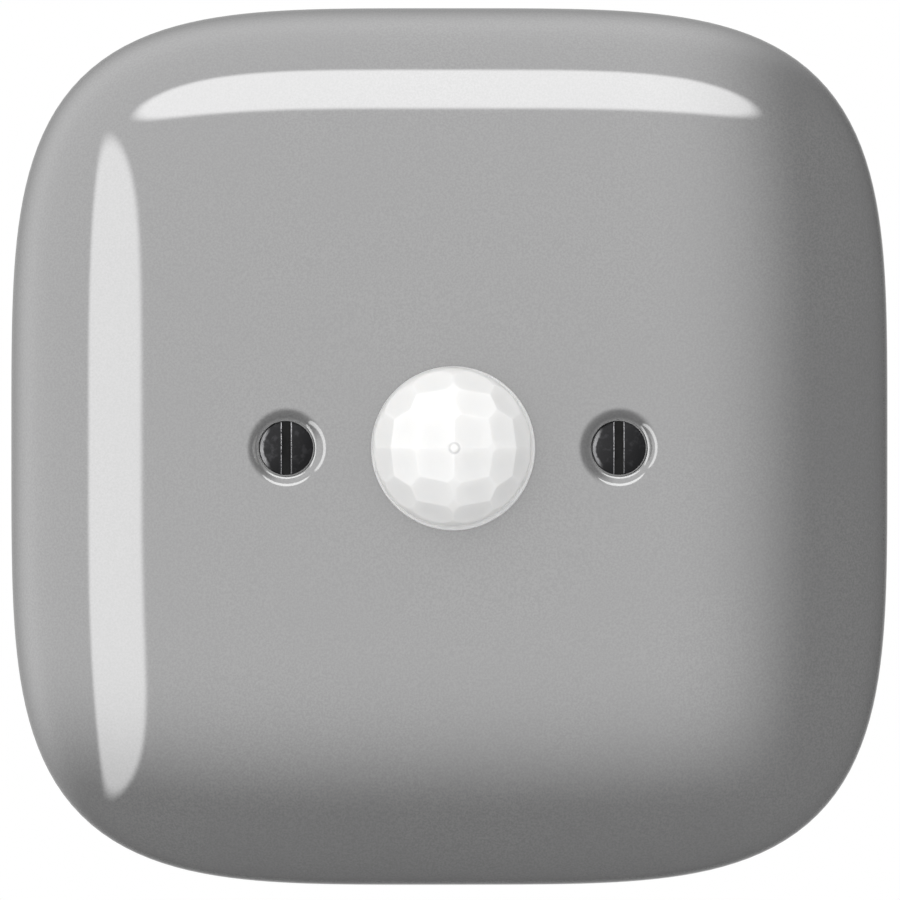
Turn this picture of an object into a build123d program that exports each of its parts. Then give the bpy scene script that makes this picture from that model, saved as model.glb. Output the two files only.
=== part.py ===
from build123d import *
from math import acos, cos, degrees, pi, radians, sin, sqrt
import os

# Motion sensor light switch for a round flush box, in millimetres. X runs right, Z up and
# Y into the wall. The origin is on the wall, behind the middle of the lens. A "forward"
# value is a distance in front of the wall, so what lies in the wall box has a negative one.
# A "gap" or "inset" is the free space that a piece keeps to its neighbour or to an edge.

# Clearances and cutters
slip = 0.2  # between parts that drop into each other
easy = 0.3  # between parts that must stay clear
thread_slack = 0.15  # on the diameter of a screw in its tapped hole
cut_overrun = 1.0  # how far a cutter passes the face that it opens

# Front housing: a moulded frame through the bracket, with the sensor turret on its front
bracket_thickness = 1.0
frame_thickness = 1.4
frame_corner = 4.0
pan_corner = 3.4
pan_inset = 0.5
pan_rise = 2.0
pan_wall = 1.2
collar_corner = 2.0
collar_wall = 1.2
collar_depth = 2.4
hook_width = 8.0
hook_reach = 0.9
hook_length = 1.2
turret_rise = 4.5
turret_wall = 0.35
turret_well = 2.6
frame_forward = bracket_thickness + frame_thickness
pan_forward = frame_forward + pan_rise
ceiling_forward = pan_forward - pan_wall
turret_forward = pan_forward + turret_rise
shelf_forward = turret_forward - turret_well
boss_back = pan_forward + easy

# Sensor: a small metal can with a window, on three leads
can_diameter = 8.2
can_height = 4.3
can_lip = 0.45
can_lip_thickness = 0.5
window_width = 4.6
window_height = 3.6
window_depth = 0.4
lead_circle = 5.08
lead_diameter = 0.45
lead_angles = (45, 135, 270)
can_flange = can_diameter + 2 * can_lip
shelf_bore = can_diameter - 2 * slip

# Light guides: clear rods in the turret wall, each over a small chip
guide_diameter = 1.0
guide_slack = 0.1
guide_wall = 0.4
chip_width = 1.6
chip_height = 1.2
chip_thickness = 0.8
can_bore = can_flange + 2 * guide_slack
guide_bore = guide_diameter + guide_slack
guide_circle = can_bore + guide_bore + 2 * guide_wall
turret_diameter = guide_circle + guide_bore + 2 * turret_wall

# Lens: a facetted dome on a thin flange, with a skirt over the turret
dome_wall = 0.75
dome_inset = 0.25
flange_thickness = 0.8
flange_lap = 1.0
skirt_wall = 0.5
facet_counts = (4, 8, 12)
facet_tilt_angles = (18.0, 40.5, 62.0)
facet_half_angles = (16.5, 17.0, 16.5)
skirt_diameter = turret_diameter + 2 * slip + 2 * skirt_wall
flange_diameter = skirt_diameter + 2 * flange_lap
dome_radius = flange_diameter / 2 - dome_inset
lens_hole = skirt_diameter + 2 * slip

# Lens retaining ring: pushed onto the skirt behind the cover
ring_lap = 1.9
ring_thickness = 1.1
ring_slack = 0.1
ring_notches = 6
ring_notch_width = 1.6
ring_notch_depth = 0.7
ring_diameter = lens_hole + 2 * ring_lap

# Sensor board, its controller and the header that joins it to the power board
board_thickness = 1.6
board_corner = 2.0
board_spacing = 4.0
controller_at = (-7.0, -4.0)
controller_width = 6.0
controller_height = 5.0
controller_thickness = 1.4
controller_leg = 0.4
controller_leg_length = 1.0
controller_leg_height = 0.6
controller_leg_spacing = 1.27
controller_legs = 4
header_inset = 4.2
header_pins = 4
header_spacing = 2.54
header_height = 2.5
header_thickness = 2.5
header_pin = 0.64
sensor_board_front = -collar_depth
sensor_board_back = sensor_board_front - board_thickness
power_board_front = sensor_board_back - board_spacing
power_board_back = power_board_front - board_thickness

# Relay: a hinged armature over a coil, under a cover
relay_width = 12.0
relay_length = 20.0
relay_height = 13.7
relay_inset = 2.6
relay_gap = 3.4
relay_base_thickness = 1.5
relay_wall = 0.6
relay_headroom = 1.4
bobbin_flange_thickness = 0.6
bobbin_tube = 3.4
coil_gap = 0.4
winding_inset = 0.5
core_diameter = 2.6
pole_rise = 0.4
yoke_width = 8.0
yoke_thickness = 1.0
armature_thickness = 0.8
armature_overhang = 0.7
armature_inset = 1.0
pole_gap = 0.7
yoke_gap = 0.1
spring_width = 3.0
spring_thickness = 0.2
spring_lap = 3.6
spring_tip = 0.5
contact_inset = 1.3
contact_diameter = 1.4
contact_height = 0.6
contact_gap = 1.1
blade_width = 3.0
blade_thickness = 0.6

# Film capacitor
film_width = 13.0
film_height = 6.0
film_depth = 11.0
film_edge = 0.6
film_gap = 0.7
film_inset = 2.6

# Electrolytic capacitor
can_cap_diameter = 8.0
can_cap_length = 11.5
can_cap_groove = 0.4
can_cap_groove_height = 0.8
can_cap_groove_start = 1.5
can_cap_edge = 0.4
can_cap_inset = 2.8
can_cap_gap = 2.8

# Varistor
varistor_diameter = 7.2
varistor_thickness = 3.0
varistor_drop = 4.6
varistor_lead = 0.7
varistor_lead_spacing = 5.0
varistor_edge = 0.6
varistor_gap = 2.7

# Fuse resistor
fuse_drop = 2.0
fuse_diameter = 3.2
fuse_length = 9.0
fuse_lead_length = 1.8
fuse_lead = 0.7
fuse_edge = 0.6
fuse_gap_left = 3.7
fuse_gap_right = 1.3
fuse_gap_above = 2.7
fuse_span = fuse_length + 2 * fuse_lead_length

# Bridge rectifier
rectifier_width = 4.0
rectifier_length = 6.4
rectifier_thickness = 2.6
rectifier_leg = 0.5
rectifier_leg_spacing = 5.0
rectifier_gap = 0.6
rectifier_shift = 3.5
rectifier_span = rectifier_width + 2 * rectifier_leg

# Choke
choke_diameter = 6.4
choke_height = 8.0
choke_flange = 1.2
choke_neck = 3.0
choke_winding_inset = 0.4
choke_inset = 3.4
choke_gap = 2.0

# Rear housing: the box in the wall. Its width follows the row of parts across the power
# board, from the electrolytic capacitor to the relay, and its depth follows the relay.
case_wall = 1.4
case_corner = 3.0
case_back_wall = 1.5
case_edge = 0.8
case_headroom = 1.2
post_width = 2.4
wire_entry = 4.4
screw_access = 4.0
case_inside = (
    can_cap_inset + can_cap_diameter + fuse_gap_left + fuse_diameter + fuse_gap_right
    + rectifier_span + rectifier_gap + relay_width + relay_inset
)
case_width = case_inside + 2 * case_wall
case_depth = relay_height + case_headroom + case_back_wall - power_board_back
case_floor = case_back_wall - case_depth
case_side = case_inside / 2
post_at = case_side - post_width / 2

# Terminals: brass barrels with a wire bore, a grub screw and a pressure foot each
terminal_names = ("live", "neutral", "load")
terminal_gap = 1.2
barrel_width = 7.0
barrel_height = 9.0
barrel_length = 10.0
barrel_edge = 0.4
barrel_leg_width = 3.0
barrel_leg_thickness = 1.2
wire_bore = 3.2
wire_bore_inset = 3.1
grub_thread = 2.95
grub_length = 5.0
grub_slot = 0.6
grub_slot_depth = 0.9
grub_shift = 2.0
foot_diameter = 2.6
foot_thickness = 0.7
terminal_spacing = case_side - post_width - terminal_gap - barrel_width / 2
barrel_z = barrel_height / 2 + slip - case_side
barrel_front = case_floor + barrel_length
wire_bore_inward = wire_bore_inset - barrel_front
grub_z = barrel_z + grub_shift
foot_forward = -wire_bore_inward - wire_bore / 2 - easy
grub_forward = foot_forward - foot_thickness

# Places on the power board
relay_x = case_side - relay_inset - relay_width / 2
relay_z = barrel_z + (barrel_height + relay_length) / 2 + relay_gap
relay_left = relay_x - relay_width / 2
film_at = (film_width / 2 + film_gap + post_width - case_side,
           case_side - film_inset - film_height / 2)
film_bottom = film_at[1] - film_height / 2
can_cap_at = (can_cap_inset + can_cap_diameter / 2 - case_side,
              film_bottom - can_cap_gap - can_cap_diameter / 2)
choke_at = (choke_inset + choke_diameter / 2 - case_side,
            can_cap_at[1] - choke_gap - (can_cap_diameter + choke_diameter) / 2)
varistor_at = (relay_left - varistor_gap - varistor_thickness / 2, film_at[1])
rectifier_at = (relay_left - rectifier_gap - rectifier_span / 2, relay_z - rectifier_shift)
fuse_at = (rectifier_at[0] - (rectifier_span + fuse_diameter) / 2 - fuse_gap_right,
           film_bottom - fuse_gap_above - fuse_span / 2)

# Inside the relay
relay_base_back = power_board_back - relay_base_thickness
relay_top = power_board_back - relay_height
yoke_back = relay_top + relay_wall + easy
yoke_inward = -yoke_back - yoke_thickness
contact_inward = contact_inset - relay_base_back
armature_front = -contact_inward - armature_inset
spring_front = contact_diameter / 2 + spring_tip - contact_inward
coil_front = contact_inward + contact_diameter / 2 + easy
bobbin_flange = yoke_inward - coil_gap - coil_front
coil_forward = -coil_front - bobbin_flange / 2
winding_diameter = bobbin_flange - 2 * winding_inset
yoke_bottom = relay_z - relay_length / 2 + relay_wall + easy
coil_bottom = yoke_bottom + yoke_thickness
armature_top = relay_z + relay_length / 2 - relay_wall - relay_headroom
armature_bottom = armature_top - armature_thickness
pole_top = armature_bottom - pole_gap
coil_top = pole_top - pole_rise
contact_bottom = armature_top - contact_height
fixed_contact_top = contact_bottom - contact_gap
blade_top = fixed_contact_top - contact_height

# Widths of what closes the rear housing
collar_gap = 0.4
frame_lap = 3.5
power_board_width = case_inside - 2 * slip
collar_width = case_inside - 2 * slip
sensor_board_width = collar_width - 2 * slip
cavity_width = collar_width - 2 * collar_wall
pan_width = case_width - 2 * pan_inset
bracket_opening = collar_width + 2 * collar_gap
frame_width = bracket_opening + 2 * frame_lap
header_z = header_inset - sensor_board_width / 2

# Adjusters: three small trimmers whose rotors look through the front housing
adjuster_names = ("time", "light", "range")
adjuster_spacing = 10.0
adjuster_inset = 2.4
adjuster_rim = 0.6
adjuster_gap = 0.6
rotor_diameter = 4.4
rotor_slack = 0.1
rotor_well = 0.8
rotor_rise = 0.5
rotor_slot = 0.8
rotor_slot_depth = 0.7
rotor_mark_share = 0.3
rotor_window_gap = 0.3
adjuster_base = rotor_diameter + 2 * adjuster_rim
adjuster_z = (cavity_width - adjuster_base) / 2 - adjuster_inset
rotor_forward = pan_forward + rotor_rise
adjuster_forward = ceiling_forward - adjuster_gap

# Mounting bracket: pressed steel, fixed to a box by slots 60 apart, with ears for the claws
box_screw_spacing = 60.0
box_slot_length = 6.0
box_slot_width = 4.2
bracket_margin = 4.5
bracket_corner_share = 0.25
bracket_opening_corner = 2.4
bracket_width = box_screw_spacing + 2 * bracket_margin
bracket_corner = bracket_width * bracket_corner_share

# Claws: levers on a pin in the ears, each drawn by a screw through its lug
claw_pivot_inward = 3.6
claw_offset = 9.0
claw_gap = 0.4
claw_width = 6.0
claw_plate = 1.6
claw_hub = 1.6
claw_arm = 12.4
claw_foot = 4.2
claw_tooth = 1.1
claw_teeth = 3
claw_eye = 2.1
claw_slot_length = 4.5
claw_lug_end = 3.0
claw_half_angle = 15.0
claw_screw_gap = 0.8
claw_screw_thread = 2.95
claw_screw_length = 8.0
claw_screw_head = 5.0
claw_screw_head_height = 1.8
claw_screw_slot = 0.8
claw_screw_hole = 3.5
ear_thickness = 1.0
pin_diameter = 2.0
pin_slack = 0.1
pin_overhang = 0.5
claw_pivot_x = case_width / 2 + claw_gap + claw_hub
claw_screw_x = frame_width / 2 + claw_screw_gap + claw_screw_head / 2
claw_reach = (claw_screw_x - claw_pivot_x) / cos(radians(claw_half_angle))
ear_back = claw_width / 2 + slip
pin_length = 2 * (ear_back + ear_thickness + pin_overhang)
claw_slot_width = claw_screw_thread + 2 * easy

# Cover plate: a glazed ceramic cap whose outline is a squircle, hollow behind
plate_rim = 7.6
plate_crown = 5.0
squircle_shares = ((1, 0), (1, 0.556), (1.038, 1.038), (0.556, 1), (0, 1))
section_angles = (0, 15, 30, 44, 57, 67, 75, 81)
pocket_gap = 1.9
pocket_draft = 3.4
boss_diameter = 9.0
pocket_depth = boss_back + ring_thickness + slip
pocket_mouth_width = bracket_width + 2 * pocket_gap
pocket_floor_width = pocket_mouth_width - 2 * pocket_draft
plate_width = pocket_mouth_width + 2 * plate_rim
plate_depth = pocket_depth + plate_crown

# Cover screws: slotted cheese heads in rounded recesses, each in a threaded insert
cover_screw_thread = 2.95
cover_screw_length = 10.0
cover_screw_head = 5.4
cover_screw_head_height = 2.0
cover_screw_head_edge = 0.25
cover_screw_slot = 0.95
cover_screw_slot_depth = 1.1
recess_gap = 0.25
recess_lip = 0.8
head_sink = 0.6
shank_slack = 0.45
insert_sleeve = 0.625
insert_wall = 0.6
insert_inset = 0.05
insert_end = 2.1
shank_hole = cover_screw_thread + shank_slack
insert_diameter = cover_screw_thread + 2 * insert_sleeve
insert_boss = insert_diameter + 2 * insert_wall
cover_screw_x = (collar_width - insert_boss) / 2 - insert_inset
recess_diameter = cover_screw_head + 2 * recess_gap

# The flat middle of the cover plate ends just inside the two recesses
flat_half = cover_screw_x - recess_diameter / 2 - recess_lip - easy
flat_angle = degrees(acos((2 * flat_half / plate_width) ** 2))
face_forward = plate_depth * sin(radians(flat_angle))
dome_forward = face_forward + flange_thickness
seat_forward = face_forward - head_sink - cover_screw_head_height
ring_back = pocket_depth - ring_thickness

# Looks along the depth of the part: local X is X and local Y is the forward value
depth_plane = Plane(origin=(0, 0, 0), x_dir=(1, 0, 0), z_dir=(0, 0, -1))


def front_plane(forward):
    """A plane parallel to the wall, seen from the front."""
    return Plane.XZ.offset(forward)


def block(width, height, back, front, at=(0, 0), corner=0, mode=Mode.ADD):
    """A straight block, or a cut of that shape, between two forward values."""
    with BuildSketch(front_plane(back)) as outline:
        with Locations(at):
            if corner:
                RectangleRounded(width, height, corner)
            else:
                Rectangle(width, height)
    extrude(outline.sketch, amount=front - back, mode=mode)


def rod(diameter, back, front, at=(0, 0), mode=Mode.ADD):
    """A round bar, or a drilled hole, between two forward values."""
    with BuildSketch(front_plane(back)) as outline:
        with Locations(at):
            Circle(diameter / 2)
    extrude(outline.sketch, amount=front - back, mode=mode)


def upright_rod(diameter, bottom, top, x, forward, mode=Mode.ADD):
    """A round bar, or a drilled hole, along Z."""
    with BuildSketch(Plane.XY.offset(bottom)) as outline:
        with Locations((x, -forward)):
            Circle(diameter / 2)
    extrude(outline.sketch, amount=top - bottom, mode=mode)


def squircle(half, forward):
    """A face whose outline follows x^4 + z^4 = half^4, one curve a quarter."""
    with BuildSketch(front_plane(forward)) as face:
        with BuildLine():
            quarter = [(half * x, half * z) for x, z in squircle_shares]
            for turn in range(4):
                Bezier(*quarter)
                quarter = [(-z, x) for x, z in quarter]
        make_face()
    return face.sketch


def slotted_head(head, thread, length, head_height, slot, slot_depth, seat, at, slot_turned=False):
    """A cheese-head screw whose head seats at a forward value."""
    rod(thread, seat - length, seat, at)
    rod(head, seat, seat + head_height, at)
    across, along = (head + cut_overrun, slot) if slot_turned else (slot, head + cut_overrun)
    top = seat + head_height
    block(across, along, top - slot_depth, top + cut_overrun, at, mode=Mode.SUBTRACT)


def keep(part, name):
    """Labels a finished piece and writes it."""
    part.label = name
    export_step(part, f"parts/{name}.step")


os.makedirs("parts", exist_ok=True)
sides = {"left": -1, "right": 1}

# Cover plate
with BuildPart() as cover_plate:
    sections = []
    for angle in (*section_angles, flat_angle):
        half = plate_width / 2 * sqrt(cos(radians(angle)))
        sections.append(squircle(half, plate_depth * sin(radians(angle))))
    loft(sections)
    pocket_floor = squircle(pocket_floor_width / 2, pocket_depth)
    pocket_mouth = squircle(pocket_mouth_width / 2, 0)
    loft([pocket_mouth, pocket_floor], ruled=True, mode=Mode.SUBTRACT)
    for side in sides.values():
        at = (side * cover_screw_x, 0)
        rod(boss_diameter, boss_back, pocket_depth, at)
        rod(recess_diameter, seat_forward, plate_depth + cut_overrun, at, Mode.SUBTRACT)
        fillet(edges(Select.LAST).sort_by(Axis.Y)[0], recess_lip)
        rod(shank_hole, boss_back - cut_overrun, plate_depth, at, Mode.SUBTRACT)
    rod(lens_hole, 0, plate_depth + cut_overrun, mode=Mode.SUBTRACT)
keep(cover_plate.part, "cover_plate")

# Cover screws
for name, side in sides.items():
    with BuildPart() as cover_screw:
        slotted_head(
            cover_screw_head, cover_screw_thread, cover_screw_length, cover_screw_head_height,
            cover_screw_slot, cover_screw_slot_depth, seat_forward, (side * cover_screw_x, 0),
        )
        rim = cover_screw.edges().filter_by(GeomType.CIRCLE).group_by(Axis.Y)[0]
        chamfer(rim, cover_screw_head_edge)
    keep(cover_screw.part, f"cover_screw_{name}")

# Fresnel lens
with BuildPart() as fresnel_lens:
    with BuildSketch(depth_plane):
        with BuildLine():
            CenterArc((0, dome_forward), dome_radius, 0, 90)
            Polyline(
                (dome_radius, dome_forward),
                (flange_diameter / 2, dome_forward),
                (flange_diameter / 2, face_forward),
                (skirt_diameter / 2, face_forward),
                (skirt_diameter / 2, ring_back),
                (skirt_diameter / 2 - skirt_wall, ring_back),
                (skirt_diameter / 2 - skirt_wall, dome_forward),
                (dome_radius - dome_wall, dome_forward),
            )
            CenterArc((0, dome_forward), dome_radius - dome_wall, 0, 90)
            Line((0, dome_forward + dome_radius - dome_wall), (0, dome_forward + dome_radius))
        make_face()
    revolve(axis=Axis.Y)
    for count, tilt, half_angle in zip(facet_counts, facet_tilt_angles, facet_half_angles):
        for facet in range(count):
            turn = 2 * pi * (facet + 1 / 2) / count
            outward = Vector(
                sin(radians(tilt)) * cos(turn), -cos(radians(tilt)), sin(radians(tilt)) * sin(turn)
            )
            middle = Vector(0, -dome_forward, 0) + outward * (dome_radius * cos(radians(half_angle)))
            split(bisect_by=Plane(origin=middle, z_dir=outward), keep=Keep.BOTTOM)
keep(fresnel_lens.part, "fresnel_lens")

# Lens retaining ring
with BuildPart() as lens_retaining_ring:
    with BuildSketch(front_plane(ring_back)):
        Circle(ring_diameter / 2)
        Circle((skirt_diameter + ring_slack) / 2, mode=Mode.SUBTRACT)
        with PolarLocations((skirt_diameter + ring_slack) / 2, ring_notches):
            Rectangle(2 * ring_notch_depth, ring_notch_width, mode=Mode.SUBTRACT)
    extrude(amount=ring_thickness)
keep(lens_retaining_ring.part, "lens_retaining_ring")

# Mounting bracket
with BuildPart() as mounting_bracket:
    with BuildSketch(front_plane(0)):
        RectangleRounded(bracket_width, bracket_width, bracket_corner)
        RectangleRounded(
            bracket_opening, bracket_opening, bracket_opening_corner, mode=Mode.SUBTRACT
        )
        with Locations((box_screw_spacing / 2, 0), (-box_screw_spacing / 2, 0)):
            SlotOverall(box_slot_length, box_slot_width, mode=Mode.SUBTRACT)
        with Locations((0, box_screw_spacing / 2), (0, -box_screw_spacing / 2)):
            SlotOverall(box_slot_length, box_slot_width, rotation=90, mode=Mode.SUBTRACT)
        with Locations((claw_screw_x, -claw_offset), (-claw_screw_x, claw_offset)):
            Circle(claw_screw_hole / 2, mode=Mode.SUBTRACT)
    extrude(amount=bracket_thickness)
    for side in sides.values():
        for step in (-1, 1):
            ear_z = -side * claw_offset + step * (ear_back + ear_thickness / 2)
            with BuildSketch(Plane.XY.offset(ear_z)):
                with Locations((side * claw_pivot_x, claw_pivot_inward / 2)):
                    Rectangle(2 * claw_hub, claw_pivot_inward)
                with Locations((side * claw_pivot_x, claw_pivot_inward)):
                    Circle(claw_hub)
                    Circle((pin_diameter + pin_slack) / 2, mode=Mode.SUBTRACT)
            extrude(amount=ear_thickness / 2, both=True)
keep(mounting_bracket.part, "mounting_bracket")

# Claw pivot pins
with BuildPart() as claw_pins:
    for side in sides.values():
        bottom = -side * claw_offset - pin_length / 2
        upright_rod(
            pin_diameter, bottom, bottom + pin_length, side * claw_pivot_x, -claw_pivot_inward
        )
keep(claw_pins.part, "claw_pins")

# Claws
with BuildPart() as claw_right:
    with BuildSketch(Plane.XY.offset(-claw_offset)):
        with Locations((claw_pivot_x, claw_pivot_inward)):
            Circle(claw_hub)
        with Locations(Location((claw_pivot_x, claw_pivot_inward), claw_half_angle)):
            lug_length = claw_reach + claw_lug_end
            Rectangle(lug_length, claw_plate, align=(Align.MIN, Align.CENTER))
        with Locations((claw_pivot_x, claw_pivot_inward)):
            Rectangle(claw_plate, claw_arm, align=(Align.CENTER, Align.MIN))
        foot_end = claw_pivot_inward + claw_arm
        with Locations((claw_pivot_x - claw_plate / 2, foot_end)):
            Rectangle(claw_foot, claw_plate, align=(Align.MIN, Align.MAX))
        tip = claw_pivot_x - claw_plate / 2 + claw_foot
        tooth_pitch = claw_plate / (claw_teeth - 1)
        for tooth in range(claw_teeth - 1):
            start = foot_end - tooth * tooth_pitch
            with BuildLine():
                Polyline(
                    (tip, start), (tip + claw_tooth, start), (tip, start - tooth_pitch), close=True
                )
            make_face()
        with Locations((claw_pivot_x, claw_pivot_inward)):
            Circle((pin_diameter + pin_slack) / 2, mode=Mode.SUBTRACT)
    extrude(amount=claw_width / 2, both=True)
    lug_plane = Plane(
        origin=(claw_screw_x, claw_pivot_inward + claw_reach * sin(radians(claw_half_angle)),
                -claw_offset),
        z_dir=(sin(radians(claw_half_angle)), -cos(radians(claw_half_angle)), 0),
    )
    with BuildSketch(lug_plane):
        Circle(claw_eye)
    extrude(amount=claw_plate, both=True, mode=Mode.SUBTRACT)
    slot_start = -claw_pivot_inward - claw_hub
    block(claw_plate + slip, claw_slot_width, slot_start - claw_slot_length, slot_start,
          (claw_pivot_x, -claw_offset), mode=Mode.SUBTRACT)
keep(claw_right.part, "claw_right")

with BuildPart() as claw_left:
    add(claw_right.part.rotate(Axis.Y, 180))
keep(claw_left.part, "claw_left")

# Claw screws
for name, side in sides.items():
    with BuildPart() as claw_screw:
        slotted_head(
            claw_screw_head, claw_screw_thread, claw_screw_length, claw_screw_head_height,
            claw_screw_slot, claw_screw_head_height / 2, bracket_thickness,
            (side * claw_screw_x, -side * claw_offset), slot_turned=True,
        )
    keep(claw_screw.part, f"claw_screw_{name}")

# Front housing
with BuildPart() as front_housing:
    block(frame_width, frame_width, bracket_thickness, frame_forward, corner=frame_corner)
    block(pan_width, pan_width, frame_forward, pan_forward, corner=pan_corner)
    chamfer(front_housing.faces().sort_by(Axis.Y)[0].edges(), pan_wall / 2)
    block(collar_width, collar_width, -collar_depth, bracket_thickness, corner=collar_corner)
    block(cavity_width, cavity_width, -collar_depth, ceiling_forward, mode=Mode.SUBTRACT)
    rod(turret_diameter, ceiling_forward, turret_forward)
    chamfer(front_housing.edges().sort_by(Axis.Y)[0], slip)
    for side in sides.values():
        rod(insert_boss, -insert_end, ceiling_forward, (side * cover_screw_x, 0))
        hook_at = (0, side * (collar_width + hook_reach) / 2)
        block(hook_width, hook_reach, -hook_length - slip, -slip, hook_at)
    for side in sides.values():
        screw_at = (side * cover_screw_x, 0)
        guide_at = (side * guide_circle / 2, 0)
        rod(insert_diameter, -collar_depth, pan_forward + cut_overrun, screw_at, Mode.SUBTRACT)
        rod(guide_bore, 0, turret_forward + cut_overrun, guide_at, Mode.SUBTRACT)
    rod(can_bore, shelf_forward, turret_forward + cut_overrun, mode=Mode.SUBTRACT)
    rod(shelf_bore, 0, shelf_forward, mode=Mode.SUBTRACT)
    for step in (-1, 0, 1):
        window_at = (step * adjuster_spacing, adjuster_z)
        window = rotor_diameter + 2 * rotor_window_gap
        rod(window, 0, pan_forward + cut_overrun, window_at, Mode.SUBTRACT)
keep(front_housing.part, "front_housing")

# Threaded inserts for the cover screws
with BuildPart() as cover_screw_inserts:
    for side in sides.values():
        at = (side * cover_screw_x, 0)
        rod(insert_diameter, -insert_end, pan_forward, at)
        rod(cover_screw_thread + thread_slack, -collar_depth, pan_forward + cut_overrun, at,
            Mode.SUBTRACT)
keep(cover_screw_inserts.part, "cover_screw_inserts")

# Sensor can, window and leads
with BuildPart() as sensor_can:
    rod(can_flange, shelf_forward, shelf_forward + can_lip_thickness)
    rod(can_diameter, shelf_forward, shelf_forward + can_height)
    chamfer(sensor_can.edges().sort_by(Axis.Y)[0], slip)
    can_front = shelf_forward + can_height
    block(window_width, window_height, can_front - window_depth, can_front + cut_overrun,
          mode=Mode.SUBTRACT)
keep(sensor_can.part, "sensor_can")

with BuildPart() as sensor_window:
    block(window_width, window_height, can_front - window_depth, can_front)
keep(sensor_window.part, "sensor_window")

with BuildPart() as sensor_leads:
    for angle in lead_angles:
        lead_at = (lead_circle / 2 * cos(radians(angle)), lead_circle / 2 * sin(radians(angle)))
        rod(lead_diameter, sensor_board_front, shelf_forward, lead_at)
keep(sensor_leads.part, "sensor_leads")

# Light guides with the chips behind them
chip_back = sensor_board_front
chip_front = sensor_board_front + chip_thickness
guides = {"ambient_light_sensor": -1, "indicator_lamp": 1}
for name, side in guides.items():
    at = (side * guide_circle / 2, 0)
    with BuildPart() as chip:
        block(chip_width, chip_height, chip_back, chip_front, at)
    keep(chip.part, name)
    with BuildPart() as light_guide:
        rod(guide_diameter, chip_front, turret_forward, at)
        chamfer(light_guide.edges().sort_by(Axis.Y)[0], guide_slack)
    keep(light_guide.part, f"{name}_guide")

# Sensor board
with BuildPart() as sensor_board:
    block(sensor_board_width, sensor_board_width, sensor_board_back, sensor_board_front,
          corner=board_corner)
    for side in sides.values():
        at = (side * cover_screw_x, 0)
        rod(shank_hole, sensor_board_back - cut_overrun, 0, at, Mode.SUBTRACT)
keep(sensor_board.part, "sensor_board")

# Controller chip
with BuildPart() as controller_chip:
    chip_x, chip_z = controller_at
    block(controller_width, controller_height, sensor_board_back - controller_thickness,
          sensor_board_back, controller_at)
    leg_span = controller_height + 2 * controller_leg_length
    for leg in range(controller_legs):
        leg_x = chip_x + (leg - (controller_legs - 1) / 2) * controller_leg_spacing
        block(controller_leg, leg_span, sensor_board_back - controller_leg_height,
              sensor_board_back, (leg_x, chip_z))
keep(controller_chip.part, "controller_chip")

# Header and pins between the boards
header_spots = [
    ((pin - (header_pins - 1) / 2) * header_spacing, header_z) for pin in range(header_pins)
]
with BuildPart() as board_header:
    block(header_pins * header_spacing, header_height, power_board_front,
          power_board_front + header_thickness, (0, header_z))
    for spot in header_spots:
        block(header_pin, header_pin, power_board_front - cut_overrun,
              sensor_board_back, spot, mode=Mode.SUBTRACT)
keep(board_header.part, "board_header")

with BuildPart() as board_pins:
    for spot in header_spots:
        block(header_pin, header_pin, power_board_front, sensor_board_back, spot)
keep(board_pins.part, "board_pins")

# Adjusters
for index, name in enumerate(adjuster_names):
    at = ((index - 1) * adjuster_spacing, adjuster_z)
    well_back = adjuster_forward - rotor_well
    with BuildPart() as adjuster:
        block(adjuster_base, adjuster_base, sensor_board_front, adjuster_forward, at)
        rod(rotor_diameter + rotor_slack, well_back, adjuster_forward + cut_overrun, at,
            Mode.SUBTRACT)
    keep(adjuster.part, f"{name}_adjuster_base")
    with BuildPart() as rotor:
        rod(rotor_diameter, well_back, rotor_forward, at)
        block(rotor_slot, rotor_diameter, rotor_forward - rotor_slot_depth,
              rotor_forward + cut_overrun, at, mode=Mode.SUBTRACT)
        arrow_at = (at[0], at[1] + rotor_diameter * rotor_mark_share)
        block(2 * rotor_slot, rotor_slot, rotor_forward - rotor_slot_depth,
              rotor_forward + cut_overrun, arrow_at, mode=Mode.SUBTRACT)
    keep(rotor.part, f"{name}_adjuster_rotor")

# Rear housing
terminal_xs = [(index - 1) * terminal_spacing for index in range(len(terminal_names))]
with BuildPart() as rear_housing:
    block(case_width, case_width, -case_depth, 0, corner=case_corner)
    fillet(rear_housing.faces().sort_by(Axis.Y)[-1].edges(), case_edge)
    block(case_inside, case_inside, case_floor, cut_overrun, corner=case_corner - case_wall,
          mode=Mode.SUBTRACT)
    for post_x in (-post_at, post_at):
        for post_z in (-post_at, post_at):
            block(post_width, post_width, case_floor, power_board_back, (post_x, post_z))
    for terminal_x in terminal_xs:
        rod(screw_access, -case_depth - cut_overrun, case_floor, (terminal_x, grub_z),
            Mode.SUBTRACT)
        entry_bottom = -case_width / 2 - cut_overrun
        upright_rod(wire_entry, entry_bottom, case_wall - case_width / 2, terminal_x,
                    -wire_bore_inward, Mode.SUBTRACT)
    for side in sides.values():
        catch_at = (0, side * (collar_width / 2 + case_wall))
        block(hook_width + 2 * slip, 2 * case_wall, -hook_length - 2 * slip, 0, catch_at,
              mode=Mode.SUBTRACT)
keep(rear_housing.part, "rear_housing")

# Power board
with BuildPart() as power_board:
    block(power_board_width, power_board_width, power_board_back, power_board_front,
          corner=board_corner)
keep(power_board.part, "power_board")

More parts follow.
